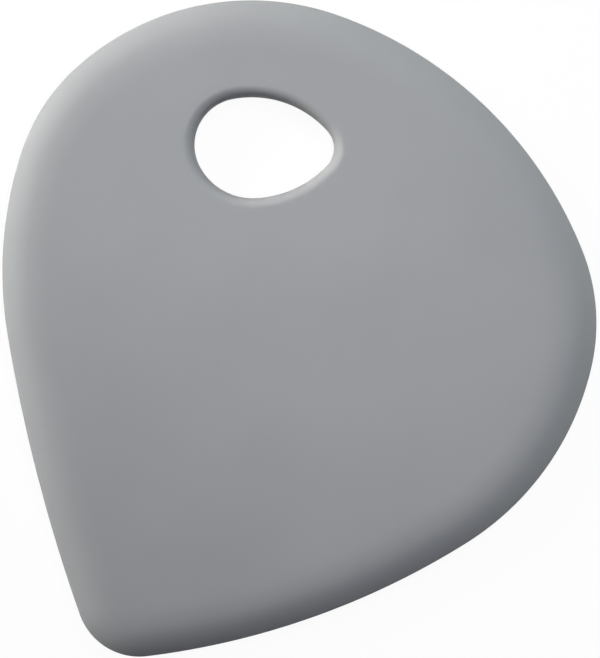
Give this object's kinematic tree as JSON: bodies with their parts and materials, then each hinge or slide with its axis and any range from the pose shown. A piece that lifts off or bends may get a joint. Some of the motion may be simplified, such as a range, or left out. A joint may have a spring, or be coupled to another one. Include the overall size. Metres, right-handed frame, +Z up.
{
  "type": "bowl scraper",
  "caption": "Flat rounded bowl scraper with a pointed tip, soft tapering edge all round a stiff core, and an egg-shaped finger hole to hold or hang it by.",
  "frame": {"origin": "below the middle of the outline, on the flat back face that the scraper lies on", "axes": "+Z up out of the front face, +Y towards the end with the finger hole, +X to the right as the front face is seen with the finger hole up"},
  "size_m": [0.1128, 0.1246, 0.0064],
  "materials": {
    "front_silicone": "satin",
    "back_silicone": "satin",
    "nylon": "matte"
  },
  "bodies": {
    "root": {"front_skin": "front_silicone", "back_skin": "back_silicone", "core_plate": "nylon"}
  },
  "joints": []
}
